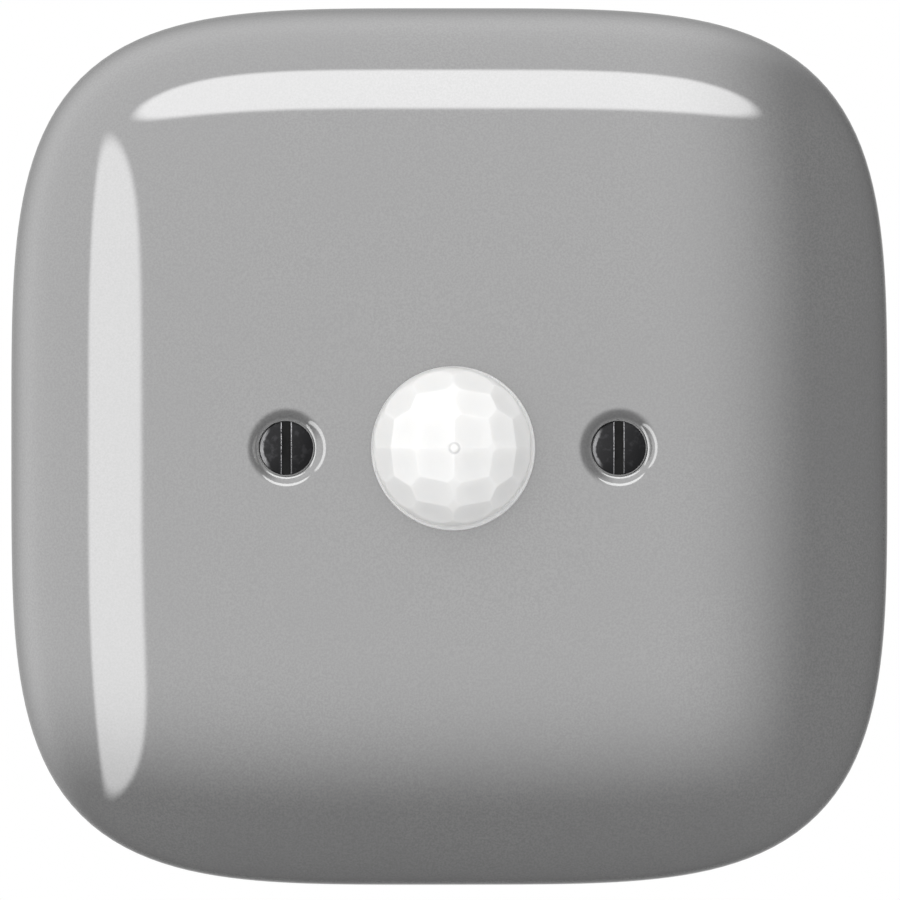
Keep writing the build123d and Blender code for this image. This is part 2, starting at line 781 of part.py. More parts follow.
# Terminals
for name, terminal_x in zip(terminal_names, terminal_xs):
    at = (terminal_x, barrel_z)
    grub_at = (terminal_x, grub_z)
    with BuildPart() as barrel:
        block(barrel_width, barrel_height, case_floor, barrel_front, at)
        chamfer(barrel.edges().filter_by(Axis.Y), barrel_edge)
        block(barrel_leg_width, barrel_leg_thickness, barrel_front, power_board_back, at)
        barrel_bottom = barrel_z - barrel_height / 2
        upright_rod(wire_bore, barrel_bottom - cut_overrun, barrel_bottom + barrel_height
                    + cut_overrun, terminal_x, -wire_bore_inward, Mode.SUBTRACT)
        rod(grub_thread + thread_slack, case_floor - cut_overrun, -wire_bore_inward, grub_at,
            Mode.SUBTRACT)
    keep(barrel.part, f"{name}_terminal_barrel")
    with BuildPart() as foot:
        rod(foot_diameter, grub_forward, foot_forward, grub_at)
    keep(foot.part, f"{name}_terminal_foot")
    with BuildPart() as grub:
        grub_back = grub_forward - grub_length
        rod(grub_thread, grub_back, grub_forward, grub_at)
        block(grub_slot, grub_thread, grub_back - cut_overrun, grub_back + grub_slot_depth, grub_at,
              mode=Mode.SUBTRACT)
    keep(grub.part, f"{name}_terminal_screw")

# Relay base and cover
relay_at = (relay_x, relay_z)
with BuildPart() as relay_base:
    block(relay_width, relay_length, relay_base_back, power_board_back, relay_at)
keep(relay_base.part, "relay_base")

with BuildPart() as relay_cover:
    block(relay_width, relay_length, relay_top, relay_base_back, relay_at)
    block(relay_width - 2 * relay_wall, relay_length - 2 * relay_wall, relay_top + relay_wall,
          relay_base_back + cut_overrun, relay_at, mode=Mode.SUBTRACT)
keep(relay_cover.part, "relay_cover")

# Relay coil
with BuildPart() as relay_bobbin:
    upright_rod(bobbin_tube, coil_bottom, coil_top, relay_x, coil_forward)
    for flange_bottom in (coil_bottom, coil_top - bobbin_flange_thickness):
        upright_rod(bobbin_flange, flange_bottom, flange_bottom + bobbin_flange_thickness,
                    relay_x, coil_forward)
    upright_rod(core_diameter, coil_bottom - cut_overrun, coil_top + cut_overrun, relay_x,
                coil_forward, Mode.SUBTRACT)
keep(relay_bobbin.part, "relay_bobbin")

with BuildPart() as relay_winding:
    winding_bottom = coil_bottom + bobbin_flange_thickness
    winding_top = coil_top - bobbin_flange_thickness
    upright_rod(winding_diameter, winding_bottom, winding_top, relay_x, coil_forward)
    upright_rod(bobbin_tube, winding_bottom - cut_overrun, winding_top + cut_overrun, relay_x,
                coil_forward, Mode.SUBTRACT)
keep(relay_winding.part, "relay_winding")

with BuildPart() as relay_core:
    upright_rod(core_diameter, coil_bottom, pole_top, relay_x, coil_forward)
keep(relay_core.part, "relay_core")

# Relay yoke: an L of steel round the coil
yoke_top = armature_bottom - yoke_gap
with BuildPart() as relay_yoke:
    with BuildSketch(Plane.XY.offset(yoke_bottom)):
        yoke_end = coil_forward + bobbin_flange / 2
        with Locations((relay_x, -(yoke_end + yoke_back) / 2)):
            Rectangle(yoke_width, yoke_end - yoke_back)
    extrude(amount=yoke_thickness)
    yoke_middle = (yoke_bottom + yoke_top) / 2
    block(yoke_width, yoke_top - yoke_bottom, yoke_back, -yoke_inward, (relay_x, yoke_middle))
keep(relay_yoke.part, "relay_yoke")

# Relay armature and its contact spring
with BuildPart() as relay_armature:
    armature_middle = (armature_bottom + armature_top) / 2
    block(yoke_width, armature_thickness, -yoke_inward - armature_overhang, armature_front,
          (relay_x, armature_middle))
keep(relay_armature.part, "relay_armature")

with BuildPart() as relay_contact_spring:
    spring_z = armature_top + spring_thickness / 2
    block(spring_width, spring_thickness, armature_front - spring_lap, spring_front,
          (relay_x, spring_z))
    upright_rod(contact_diameter, contact_bottom, armature_top, relay_x, -contact_inward)
keep(relay_contact_spring.part, "relay_contact_spring")

with BuildPart() as relay_fixed_contact:
    blade_z = blade_top - blade_thickness / 2
    block(blade_width, blade_thickness, -contact_inward - contact_diameter / 2, relay_base_back,
          (relay_x, blade_z))
    upright_rod(contact_diameter, blade_top, fixed_contact_top, relay_x, -contact_inward)
keep(relay_fixed_contact.part, "relay_fixed_contact")

# Film capacitor
with BuildPart() as film_capacitor:
    block(film_width, film_height, power_board_back - film_depth, power_board_back, film_at)
    fillet(film_capacitor.edges(), film_edge)
keep(film_capacitor.part, "film_capacitor")

# Electrolytic capacitor
with BuildPart() as electrolytic_capacitor:
    rod(can_cap_diameter, power_board_back - can_cap_length, power_board_back, can_cap_at)
    fillet(electrolytic_capacitor.edges().sort_by(Axis.Y)[-1], can_cap_edge)
    groove_front = power_board_back - can_cap_groove_start
    with BuildSketch(front_plane(groove_front - can_cap_groove_height)):
        with Locations(can_cap_at):
            Circle(can_cap_diameter / 2 + cut_overrun)
            Circle(can_cap_diameter / 2 - can_cap_groove, mode=Mode.SUBTRACT)
    extrude(amount=can_cap_groove_height, mode=Mode.SUBTRACT)
keep(electrolytic_capacitor.part, "electrolytic_capacitor")

# Varistor
with BuildPart() as varistor:
    varistor_x, varistor_z = varistor_at
    varistor_forward = power_board_back - varistor_drop
    with BuildSketch(Plane.YZ.offset(varistor_x)):
        with Locations((-varistor_forward, varistor_z)):
            Circle(varistor_diameter / 2)
    extrude(amount=varistor_thickness / 2, both=True)
    fillet(varistor.edges(), varistor_edge)
    for side in sides.values():
        lead_at = (varistor_x, varistor_z + side * varistor_lead_spacing / 2)
        rod(varistor_lead, varistor_forward, power_board_back, lead_at)
keep(varistor.part, "varistor")

# Fuse resistor
with BuildPart() as fuse_resistor:
    fuse_x, fuse_z = fuse_at
    fuse_forward = power_board_back - fuse_drop
    fuse_bottom = fuse_z - fuse_length / 2
    upright_rod(fuse_diameter, fuse_bottom, fuse_bottom + fuse_length, fuse_x, fuse_forward)
    fillet(fuse_resistor.edges().filter_by(GeomType.CIRCLE), fuse_edge)
    lead_bottom = fuse_z - fuse_span / 2
    upright_rod(fuse_lead, lead_bottom, lead_bottom + fuse_span, fuse_x, fuse_forward)
    for side in sides.values():
        lead_z = fuse_z + side * (fuse_span - fuse_lead) / 2
        rod(fuse_lead, fuse_forward, power_board_back, (fuse_x, lead_z))
keep(fuse_resistor.part, "fuse_resistor")

# Bridge rectifier
with BuildPart() as bridge_rectifier:
    rectifier_x, rectifier_z = rectifier_at
    block(rectifier_width, rectifier_length, power_board_back - rectifier_thickness,
          power_board_back, rectifier_at)
    for side in sides.values():
        leg_at = (rectifier_x, rectifier_z + side * rectifier_leg_spacing / 2)
        block(rectifier_width + 2 * rectifier_leg, rectifier_leg,
              power_board_back - rectifier_thickness / 2, power_board_back, leg_at)
keep(bridge_rectifier.part, "bridge_rectifier")

# Choke
choke_back = power_board_back - choke_height
with BuildPart() as choke_core:
    rod(choke_neck, choke_back, power_board_back, choke_at)
    rod(choke_diameter, choke_back, choke_back + choke_flange, choke_at)
    rod(choke_diameter, power_board_back - choke_flange, power_board_back, choke_at)
keep(choke_core.part, "choke_core")

with BuildPart() as choke_winding:
    rod(choke_diameter - 2 * choke_winding_inset, choke_back + choke_flange,
        power_board_back - choke_flange, choke_at)
    rod(choke_neck, choke_back, power_board_back, choke_at, Mode.SUBTRACT)
keep(choke_winding.part, "choke_winding")
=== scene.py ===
import bmesh
import bpy
import numpy as np
from math import atan2, cos, pi, radians, sin, sqrt
from mathutils import Matrix, Vector


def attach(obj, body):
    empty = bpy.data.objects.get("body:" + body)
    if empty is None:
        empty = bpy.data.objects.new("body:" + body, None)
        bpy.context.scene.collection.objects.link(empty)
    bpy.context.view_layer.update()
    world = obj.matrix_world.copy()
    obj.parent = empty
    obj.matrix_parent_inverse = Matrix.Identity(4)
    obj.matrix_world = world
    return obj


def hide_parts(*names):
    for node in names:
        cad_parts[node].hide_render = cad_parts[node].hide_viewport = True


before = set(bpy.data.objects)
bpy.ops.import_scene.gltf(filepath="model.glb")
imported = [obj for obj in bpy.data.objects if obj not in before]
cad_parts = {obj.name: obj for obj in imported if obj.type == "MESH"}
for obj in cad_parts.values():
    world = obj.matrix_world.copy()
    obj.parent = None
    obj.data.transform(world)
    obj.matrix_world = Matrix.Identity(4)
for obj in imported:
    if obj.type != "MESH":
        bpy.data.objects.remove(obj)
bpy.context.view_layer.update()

mm = 0.001


# Mounting bracket: a square of steel strip that is screwed over the wall box. It is blanked,
# slotted and folded in one tool, then zinc plated, which leaves a cloudy blue-grey shine.
class Value:
    """A shader value. Sums and products of values add the Math nodes that work them out."""

    def __init__(self, finish, socket):
        self.finish = finish
        self.socket = socket

    def math(self, operation, *values):
        return self.finish.add("Math", dict(enumerate(values)), operation=operation)

    def __add__(self, other):
        return self.math("ADD", self, other)

    def __sub__(self, other):
        return self.math("SUBTRACT", self, other)

    def __mul__(self, other):
        return self.math("MULTIPLY", self, other)

    def __rsub__(self, other):
        return self.math("SUBTRACT", other, self)

    __radd__ = __add__
    __rmul__ = __mul__

    def size(self):
        return self.math("ABSOLUTE", self)

    def or_more(self, other):
        return self.math("MAXIMUM", self, other)

    def or_less(self, other):
        return self.math("MINIMUM", self, other)


class Finish:
    """A surface finish in the making, on the object's own coordinates."""

    def __init__(self, name, tree=None):
        if tree is None:
            self.material = bpy.data.materials.new(name)
            self.material.use_nodes = True
            tree = self.material.node_tree
        tree.nodes.clear()
        self.tree = tree

    def add(self, kind, sockets=(), output=0, **settings):
        """Adds a node, sets it up, fills its sockets, and gives the output that is asked for."""
        node = self.tree.nodes.new("ShaderNode" + kind)
        for name, value in settings.items():
            setattr(node, name, value)
        for name, value in dict(sockets).items():
            if isinstance(value, Value):
                self.tree.links.new(value.socket, node.inputs[name])
            elif node.inputs[name].type == "RGBA" and len(value) == 3:
                node.inputs[name].default_value = (*value, 1)
            else:
                node.inputs[name].default_value = value
        return Value(self, node.outputs[output]) if node.outputs else node

    def place(self, stretch=(1, 1, 1)):
        """The point on the object, in metres, stretched for a pattern."""
        point = self.add("TexCoord", output="Object")
        return self.add("Mapping", {"Vector": point, "Scale": stretch})

    def axis(self, name):
        """How far along X, Y or Z the point lies, in metres."""
        return self.add("SeparateXYZ", {"Vector": self.add("TexCoord", output="Object")}, name)

    def length(self, vector):
        """How long a vector is."""
        return self.add("VectorMath", {0: vector}, "Value", operation="LENGTH")

    def noise(self, size, detail=2.0, stretch=(1, 1, 1), roughness=0.5):
        """Cloudy noise from 0 to 1 whose blobs are about a size across."""
        sockets = {"Vector": self.place(stretch), "Scale": 1 / size, "Detail": detail,
                   "Roughness": roughness}
        return self.add("TexNoise", sockets)

    def bands(self, pitch, direction):
        """Ridges from 0 to 1 that repeat at a pitch along X, Y or Z."""
        sockets = {"Vector": self.place(), "Scale": pi / (10 * pitch)}
        return self.add("TexWave", sockets, "Fac", bands_direction=direction)

    def step(self, value, low, high, bottom=0.0, top=1.0):
        """A soft step: the bottom below low, the top above high."""
        sockets = {"Value": value, "From Min": low, "From Max": high, "To Min": bottom,
                   "To Max": top}
        return self.add("MapRange", sockets, interpolation_type="SMOOTHSTEP")

    def blend(self, factor, first, second):
        """The first colour where the factor is 0, the second where it is 1."""
        return self.add("Mix", {0: factor, 6: first, 7: second}, 2, data_type="RGBA")

    def relief(self, height, depth):
        """The normal of a surface whose height goes up to a depth in metres."""
        return self.add("Bump", {"Height": height, "Distance": depth, "Strength": 1.0})

    def surface(self, **sockets):
        """Ends the finish with a shader, its sockets named with _ for a blank."""
        named = {name.replace("_", " "): value for name, value in sockets.items()}
        shader = self.add("BsdfPrincipled", named)
        self.add("OutputMaterial", {"Surface": shader})
        return self.material


def dress(material, slot, *nodes):
    """Gives a finish to CAD nodes that keep their shape."""
    for name in nodes:
        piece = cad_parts[name]
        piece.data.materials.clear()
        piece.data.materials.append(material)


def piece_from(bm, name, material, slot, body, *nodes, sharp=35, even=False):
    """Turns a bmesh into a finished piece on a body, in the place of CAD nodes."""
    bmesh.ops.recalc_face_normals(bm, faces=bm.faces)
    for face in bm.faces:
        face.smooth = True
    for edge in bm.edges:
        edge.smooth = len(edge.link_faces) != 2 or edge.calc_face_angle() < radians(sharp)
    mesh = bpy.data.meshes.new(name)
    bm.to_mesh(mesh)
    bm.free()
    mesh.materials.append(material)
    piece = bpy.data.objects.new(name, mesh)
    bpy.context.scene.collection.objects.link(piece)
    if even:
        piece.modifiers.new("even_shading", "WEIGHTED_NORMAL").keep_sharp = True
    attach(piece, body)
    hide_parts(*nodes)


def eased(node, width, material, slot, body):
    """Copies a CAD node with its keen edges rounded by a width, and stands in for it."""
    weld, flat_angle, keen_angle = 0.002 * mm, radians(0.6), radians(40)
    bm = bmesh.new()
    bm.from_mesh(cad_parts[node].data)
    bmesh.ops.remove_doubles(bm, verts=bm.verts, dist=weld)
    bmesh.ops.dissolve_limit(bm, angle_limit=flat_angle, verts=bm.verts, edges=bm.edges)
    keen = [e for e in bm.edges if len(e.link_faces) == 2 and e.calc_face_angle() > keen_angle]
    bmesh.ops.bevel(
        bm, geom=keen, offset=width, segments=2, profile=0.5, affect="EDGES", material=-1,
        clamp_overlap=True,
    )
    piece_from(bm, f"{node}_piece", material, slot, body, node, sharp=50, even=True)


def zinc_plate(name, grain_along):
    """Zinc plated steel whose rolling marks run along a direction."""
    zinc = Finish(name)
    rolled = zinc.noise(0.35 * mm, detail=3, stretch=grain_along)
    cloud = zinc.noise(5 * mm, detail=4, roughness=0.6)
    grey = zinc.blend(zinc.step(cloud, 0.3, 0.7), (0.46, 0.49, 0.53), (0.64, 0.66, 0.68))
    grey = zinc.blend(zinc.step(rolled, 0.35, 0.7, 0.0, 0.35), grey, (0.36, 0.38, 0.41))
    stain = zinc.step(zinc.noise(9 * mm, detail=3), 0.56, 0.72, 0.0, 0.4)
    grey = zinc.blend(stain, grey, (0.55, 0.53, 0.42))
    return zinc.surface(
        Base_Color=grey, Metallic=1.0, Roughness=zinc.step(cloud, 0.3, 0.7, 0.26, 0.42),
        Normal=zinc.relief(rolled, 0.004 * mm),
    )


sheet_zinc = zinc_plate("zinc_plated_sheet", grain_along=(1, 1, 0.05))
eased("mounting_bracket", 0.08 * mm, sheet_zinc, "zinc_steel", "mechanism")

# Spreading claws: two toothed levers of folded steel that grip the inside of the wall box.
# Each swings on a riveted pin as a slotted screw draws it out.
claw_zinc = zinc_plate("zinc_plated_claw", grain_along=(1, 0.05, 1))
screw_zinc = zinc_plate("zinc_plated_screw", grain_along=(1, 1, 1))
for side in ("left", "right"):
    eased(f"claw_{side}", 0.07 * mm, claw_zinc, "zinc_steel", f"{side}_claw")
    eased(f"claw_screw_{side}", 0.07 * mm, screw_zinc, "zinc_steel", f"{side}_claw_screw")
eased("claw_pins", 0.06 * mm, screw_zinc, "zinc_steel", "mechanism")

# Rear housing: a deep tray of black glass-filled polyester that sits in the wall box. It has
# a fine spark-eroded texture, and holes at its foot for the wires and at its back for a driver.
tray = Finish("glass_filled_polyester")
pits = tray.noise(0.09 * mm, detail=2)
flow = tray.noise(7 * mm, detail=3, stretch=(1, 0.3, 1))
black = tray.blend(tray.step(flow, 0.3, 0.7), (0.022, 0.022, 0.024), (0.034, 0.034, 0.037))
black = tray.blend(tray.step(pits, 0.60, 0.72, 0.0, 0.5), black, (0.07, 0.07, 0.072))
tray_material = tray.surface(
    Base_Color=black, Roughness=tray.step(flow, 0.3, 0.7, 0.42, 0.56),
    Normal=tray.relief(pits, 0.010 * mm),
)
eased("rear_housing", 0.15 * mm, tray_material, "dark_housing", "mechanism")

# Wire terminals: brass barrels, milled from bar and drilled across. A steel screw presses a
# small foot onto the wire.
brass = Finish("milled_brass")
cut = brass.noise(0.10 * mm, detail=2, stretch=(1, 0.08, 1))
tarnish = brass.noise(2.5 * mm, detail=4, roughness=0.6)
gold = brass.blend(brass.step(tarnish, 0.35, 0.7), (0.72, 0.52, 0.24), (0.52, 0.36, 0.16))
brass_material = brass.surface(
    Base_Color=gold, Metallic=1.0, Roughness=brass.step(tarnish, 0.3, 0.7, 0.22, 0.42),
    Normal=brass.relief(cut, 0.004 * mm),
)
for wire in ("live", "neutral", "load"):
    eased(f"{wire}_terminal_barrel", 0.08 * mm, brass_material, "brass", "mechanism")
    eased(f"{wire}_terminal_foot", 0.05 * mm, screw_zinc, "zinc_steel", f"{wire}_foot")
    eased(f"{wire}_terminal_screw", 0.05 * mm, screw_zinc, "zinc_steel", f"{wire}_grub")

# Circuit boards: glass and epoxy sheet under a green lacquer, with copper tracks below it and
# tinned pads on a tenth-inch grid. The pins that join the two boards are tinned brass.
board = Finish("lacquered_board")
thread_gap = 0.45 * mm
pad_gap = 2.54 * mm
track_gap = pad_gap / 2
patch_size = 5.0 * mm
glass_weave = (board.bands(thread_gap, "X") + board.bands(thread_gap, "Z")) * 0.5
flat = board.place((1, 0, 1))
patch = board.add("TexVoronoi", {"Vector": flat, "Scale": 1 / patch_size}, "Color")
which = board.add("SeparateColor", {"Color": patch}, "Red")
upright = board.step(board.bands(track_gap, "X"), 0.80, 0.90) * board.step(which, 0.48, 0.52)
across = board.step(board.bands(track_gap, "Z"), 0.80, 0.90) * board.step(which, 0.52, 0.48)
track = upright.or_more(across)
grid = board.add("TexVoronoi", {"Vector": flat, "Scale": 1 / pad_gap, "Randomness": 0.0}, "Distance")
pad = board.step(grid, 0.30, 0.26) * board.step(board.noise(4 * mm, detail=1), 0.54, 0.58)
green = board.blend(track, (0.010, 0.075, 0.030), (0.022, 0.150, 0.055))
green = board.blend(glass_weave * 0.25, green, (0.014, 0.095, 0.040))
board_color = board.blend(pad, green, (0.62, 0.61, 0.58))
board_material = board.surface(
    Base_Color=board_color, Metallic=pad, Roughness=0.28 + glass_weave * 0.10,
    Normal=board.relief((track + pad) * 0.8 + glass_weave * 0.2, 0.03 * mm),
)
dress(board_material, "board", "sensor_board", "power_board")
tin = Finish("tinned_metal")
smear = tin.noise(3 * mm, detail=3)
tin_material = tin.surface(
    Base_Color=tin.blend(smear, (0.70, 0.69, 0.67), (0.80, 0.79, 0.77)), Metallic=1.0,
    Roughness=tin.step(smear, 0.3, 0.7, 0.20, 0.30),
    Normal=tin.relief(tin.noise(0.3 * mm), 0.001 * mm),
)
dress(tin_material, "tin", "board_pins", "sensor_leads")


# Moulded parts on the boards: chip, header, rectifier, light sensor and relay foot in black
# epoxy or polyester, the relay's case and bobbin in a smoky one, with a matt mould texture.
def moulding(name, dark, light, texture, roughness):
    """A moulded plastic with a fine texture and a slight cloud in its colour."""
    plastic = Finish(name)
    grain = plastic.noise(texture, detail=2)
    cloud = plastic.noise(4 * mm, detail=2)
    color = plastic.blend(plastic.step(cloud, 0.25, 0.75), dark, light)
    return plastic.surface(
        Base_Color=color, Roughness=plastic.step(cloud, 0.3, 0.7, roughness, roughness + 0.1),
        Normal=plastic.relief(grain, 0.006 * mm),
    )


epoxy = moulding("black_epoxy", (0.018, 0.018, 0.020), (0.030, 0.030, 0.032), 0.07 * mm, 0.45)
dress(epoxy, "black_plastic", "controller_chip", "board_header", "bridge_rectifier",
      "ambient_light_sensor", "relay_base")
smoky = moulding("smoky_polyester", (0.10, 0.13, 0.16), (0.13, 0.16, 0.19), 0.10 * mm, 0.30)
dress(smoky, "relay_plastic", "relay_cover", "relay_bobbin")
lamp_resin = moulding("lamp_resin", (0.75, 0.16, 0.10), (0.82, 0.22, 0.14), 0.05 * mm, 0.15)
dress(lamp_resin, "lamp", "indicator_lamp")
ferrite = moulding("sintered_ferrite", (0.040, 0.040, 0.044), (0.070, 0.068, 0.070), 0.12 * mm, 0.55)
dress(ferrite, "ferrite", "choke_core")
yellow = moulding("yellow_box", (0.78, 0.55, 0.05), (0.84, 0.62, 0.08), 0.12 * mm, 0.32)
dress(yellow, "yellow_plastic", "film_capacitor")
blue_lacquer = moulding("blue_lacquer", (0.03, 0.13, 0.42), (0.05, 0.18, 0.52), 0.30 * mm, 0.25)
dress(blue_lacquer, "blue_plastic", "varistor")

# Electrolytic capacitor: an aluminium can in a black shrunk sleeve, which turns in over the
# rim and leaves the scored end bare. A pale stripe down one side marks the negative lead.
sleeve = Finish("sleeved_can")
can_x, can_z, can_end = -12.8 * mm, 4.2 * mm, 21.1 * mm
off_x = sleeve.axis("X") - can_x
off_z = sleeve.axis("Z") - can_z
out = sleeve.length(sleeve.add("CombineXYZ", {"X": off_x, "Z": off_z}))
bare = sleeve.step(sleeve.axis("Y"), can_end - 0.25 * mm, can_end - 0.15 * mm)
bare = bare * sleeve.step(out, 3.3 * mm, 3.1 * mm)
score = sleeve.step(off_x.size().or_less(off_z.size()), 0.12 * mm, 0.05 * mm) * bare
stripe = sleeve.step(off_x, -3.2 * mm, -3.4 * mm) * (1 - bare)
sleeve_color = sleeve.blend(stripe, (0.020, 0.022, 0.030), (0.55, 0.56, 0.60))
sleeve_color = sleeve.blend(bare, sleeve_color, (0.72, 0.73, 0.74))
# The score lines on the bare end are painted darker: painted shade in the grooves.
sleeve_color = sleeve.blend(score, sleeve_color, (0.30, 0.30, 0.31))
sleeve_material = sleeve.surface(
    Base_Color=sleeve_color, Metallic=bare, Roughness=0.26 + bare * 0.1,
    Normal=sleeve.relief(sleeve.noise(0.5 * mm) - score, 0.02 * mm),
)
dress(sleeve_material, "black_plastic", "electrolytic_capacitor")

# Fuse resistor: a ceramic rod with a spiral film, dipped in a dull green cement and banded
# with fired colours.
cement = Finish("resistor_cement")
band_width = 0.45 * mm
cement_color = cement.blend(cement.noise(0.4 * mm), (0.20, 0.30, 0.24), (0.26, 0.37, 0.30))
bands = ((-1.6, (0.25, 0.10, 0.03)), (0.2, (0.02, 0.02, 0.02)), (2.0, (0.70, 0.20, 0.03)),
         (5.2, (0.70, 0.52, 0.20)))
for height, paint in bands:
    off = (cement.axis("Z") - height * mm).size()
    cement_color = cement.blend(cement.step(off, band_width, band_width * 0.9), cement_color, paint)
cement_material = cement.surface(
    Base_Color=cement_color, Roughness=cement.step(cement.noise(1.2 * mm), 0.3, 0.7, 0.40, 0.55),
    Normal=cement.relief(cement.noise(0.15 * mm), 0.01 * mm),
)
dress(cement_material, "resistor", "fuse_resistor")


# Windings: enamelled copper wire laid turn against turn, on the relay's bobbin and on the
# choke. The relay's iron is nickel plated, and its springs carry the contacts.
def winding(name, wire, direction):
    """A wound layer of enamelled wire whose turns repeat along an axis."""
    copper = Finish(name)
    turns = copper.bands(wire, direction)
    enamel = copper.blend(copper.noise(1.5 * mm), (0.42, 0.14, 0.05), (0.58, 0.22, 0.08))
    # The colour goes dark in the grooves between the turns: painted shade.
    return copper.surface(
        Base_Color=copper.blend(turns, (0.14, 0.04, 0.015), enamel), Metallic=0.8,
        Roughness=copper.step(turns, 0.1, 0.8, 0.5, 0.25), Coat_Weight=0.6,
        Normal=copper.relief(turns, wire * 0.4),
    )


dress(winding("relay_wire", 0.16 * mm, "Z"), "copper", "relay_winding")
dress(winding("choke_wire", 0.30 * mm, "Y"), "copper", "choke_winding")
nickel = Finish("nickel_plated_iron")
wipe = nickel.noise(0.2 * mm, detail=3, stretch=(1, 1, 0.1))
nickel_material = nickel.surface(
    Base_Color=nickel.blend(nickel.noise(3 * mm), (0.50, 0.48, 0.44), (0.62, 0.60, 0.55)),
    Metallic=1.0, Roughness=nickel.step(wipe, 0.3, 0.7, 0.24, 0.38),
    Normal=nickel.relief(wipe, 0.003 * mm),
)
dress(nickel_material, "soft_iron", "relay_core", "relay_yoke", "relay_armature",
      "relay_contact_spring", "relay_fixed_contact")

# Front housing: white polycarbonate, moulded with the pan that the boards sit in and the
# turret that holds the sensor. Brass inserts for the cover screws are pressed in warm.
shell = Finish("white_polycarbonate")
sparks = shell.noise(0.10 * mm, detail=2)
cast = shell.noise(9 * mm, detail=2)
white = shell.blend(shell.step(cast, 0.3, 0.7), (0.79, 0.785, 0.765), (0.85, 0.845, 0.83))
shell_material = shell.surface(
    Base_Color=white, Roughness=shell.step(cast, 0.3, 0.7, 0.34, 0.44), Subsurface_Weight=0.1,
    Subsurface_Radius=(1.0, 0.9, 0.8), Subsurface_Scale=0.6 * mm,
    Normal=shell.relief(sparks, 0.006 * mm),
)
eased("front_housing", 0.12 * mm, shell_material, "white_housing", "mechanism")
eased("cover_screw_inserts", 0.06 * mm, brass_material, "brass", "mechanism")

# Adjusters: three small trimmers for time, light level and range. Each has a blue case and a
# cream rotor with a driver's slot, ringed by a groove and marked with an arrow's point.
trimmer = moulding("trimmer_case", (0.02, 0.12, 0.40), (0.03, 0.15, 0.46), 0.12 * mm, 0.30)
cream = moulding("trimmer_rotor", (0.72, 0.66, 0.50), (0.78, 0.72, 0.56), 0.10 * mm, 0.35)
for knob in ("time", "light", "range"):
    eased(f"{knob}_adjuster_base", 0.07 * mm, trimmer, "blue_plastic", "mechanism")
    eased(f"{knob}_adjuster_rotor", 0.06 * mm, cream, "rotor", f"{knob}_adjuster")

# Sensor: a drawn and tinned can with a filter window of coated silicon. Two clear guides
# beside it bring light to the light sensor and out from the indicator lamp.
eased("sensor_can", 0.10 * mm, tin_material, "tin", "mechanism")
silicon = Finish("coated_silicon")
tint = silicon.noise(2.0 * mm, detail=1)
silicon_material = silicon.surface(
    Base_Color=silicon.blend(tint, (0.020, 0.022, 0.060), (0.045, 0.030, 0.075)),
    Roughness=silicon.step(tint, 0.3, 0.7, 0.06, 0.14), Metallic=0.6, Coat_Weight=1.0,
)
dress(silicon_material, "window", "sensor_window")
acrylic = Finish("clear_acrylic")
ripple = acrylic.noise(0.6 * mm, detail=1)
acrylic_material = acrylic.surface(
    Base_Color=acrylic.blend(ripple, (0.86, 0.90, 0.90), (0.94, 0.96, 0.96)),
    Roughness=acrylic.step(ripple, 0.3, 0.7, 0.04, 0.10), IOR=1.49, Transmission_Weight=0.9,
    Normal=acrylic.relief(ripple, 0.003 * mm),
)
dress(acrylic_material, "clear", "ambient_light_sensor_guide", "indicator_lamp_guide")

# Cover plate: a cap of cast ceramic under a thick grey glaze. Its outline is a squircle, its
# face swells like a pebble, and two dished wells take the screws that hold it.
plate_half = 44.0 * mm
face_forward = 10.963 * mm
pocket_mouth = 36.4 * mm
pocket_floor = 33.0 * mm
pocket_depth = 6.0 * mm
lens_hole = 7.4 * mm
rim_round = 0.35 * mm
foot_width = 2.5 * mm
near = 0.01 * mm
plate_steps = 240
inner_rings = 24
floor_rings = 26
swell_start = 75
swell_step = 1.5


def plate_forward(x, z):
    """How far the face of the cover stands off the wall at a point."""
    swell = 1 - (x ** 4 + z ** 4) / plate_half ** 4
    return face_forward * sqrt(max(swell, 0))


def grow_ring(bm, edges, half, power, forward):
    """Extrudes a closed ring of edges to a new outline |x|^p + |z|^p = half^p."""
    grown = bmesh.ops.extrude_edge_only(bm, edges=edges)["geom"]
    for vert in grown:
        if isinstance(vert, bmesh.types.BMVert):
            angle = Vector((vert.co.x, vert.co.z)).angle_signed(Vector((1, 0)))
            c, s = abs(cos(angle)), abs(sin(angle))
            reach = half / (c ** power + s ** power) ** (1 / power)
            x, z = reach * cos(angle), reach * sin(angle)
            vert.co = x, -(plate_forward(x, z) if forward is None else forward), z
    return [edge for edge in grown if isinstance(edge, bmesh.types.BMEdge)]


bm = bmesh.new()
turn_upright = Matrix.Rotation(pi / 2, 4, "X")
bmesh.ops.create_circle(bm, segments=plate_steps, radius=lens_hole, matrix=turn_upright)
hole_back = bm.edges[:]
for vert in bm.verts:
    vert.co.y = -pocket_depth
ring = grow_ring(bm, hole_back, lens_hole, 2, None)
inner_end = plate_half * sqrt(cos(radians(swell_start)))
for step in range(1, inner_rings + 1):
    share = step / inner_rings
    ring = grow_ring(bm, ring, lens_hole + (inner_end - lens_hole) * share, 2 + 2 * share, None)
for angle in np.arange(swell_start - swell_step, -swell_step / 2, -swell_step):
    ring = grow_ring(bm, ring, plate_half * sqrt(cos(radians(angle))), 4, None)
rim = ring
for half in (pocket_mouth + foot_width, pocket_mouth):
    ring = grow_ring(bm, ring, half, 4, 0)
for share in (0.5, 1.0):
    half = pocket_mouth + (pocket_floor - pocket_mouth) * share
    ring = grow_ring(bm, ring, half, 4, pocket_depth * share)
for step in range(1, floor_rings):
    share = step / floor_rings
    ring = grow_ring(bm, ring, pocket_floor + (lens_hole - pocket_floor) * share, 4 - 2 * share,
                     pocket_depth)
bmesh.ops.bridge_loops(bm, edges=ring + hole_back)
bmesh.ops.bevel(bm, geom=rim, offset=rim_round, segments=3, profile=0.5, affect="EDGES", material=-1)

